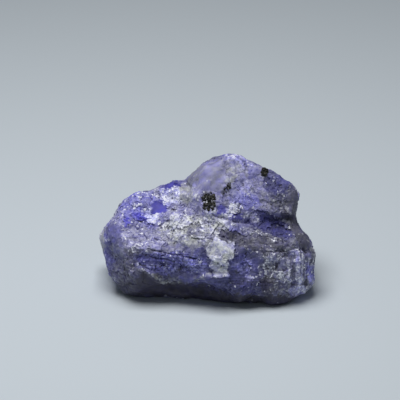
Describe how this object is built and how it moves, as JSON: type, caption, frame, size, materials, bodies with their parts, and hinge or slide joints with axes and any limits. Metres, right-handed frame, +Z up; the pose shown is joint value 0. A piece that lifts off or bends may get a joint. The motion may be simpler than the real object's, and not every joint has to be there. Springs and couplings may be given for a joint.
{
  "type": "rough tanzanite",
  "caption": "Rough tanzanite, a broken and frosted violet-blue stone with pale and dark patches, ledges and a crevice, resting on a small flat spot.",
  "frame": {"origin": "on the table, under the middle of the stone's bounding box", "axes": "+X along the stone's length, to the right in the picture, +Y to its back and +Z up"},
  "size_m": [0.03, 0.0198, 0.0186],
  "materials": {
    "tanzanite": "frosted, granular broken surface with small bright glints, violet-blue with pale grey and dark indigo patches"
  },
  "bodies": {
    "root": {"stone": "tanzanite"}
  },
  "joints": []
}
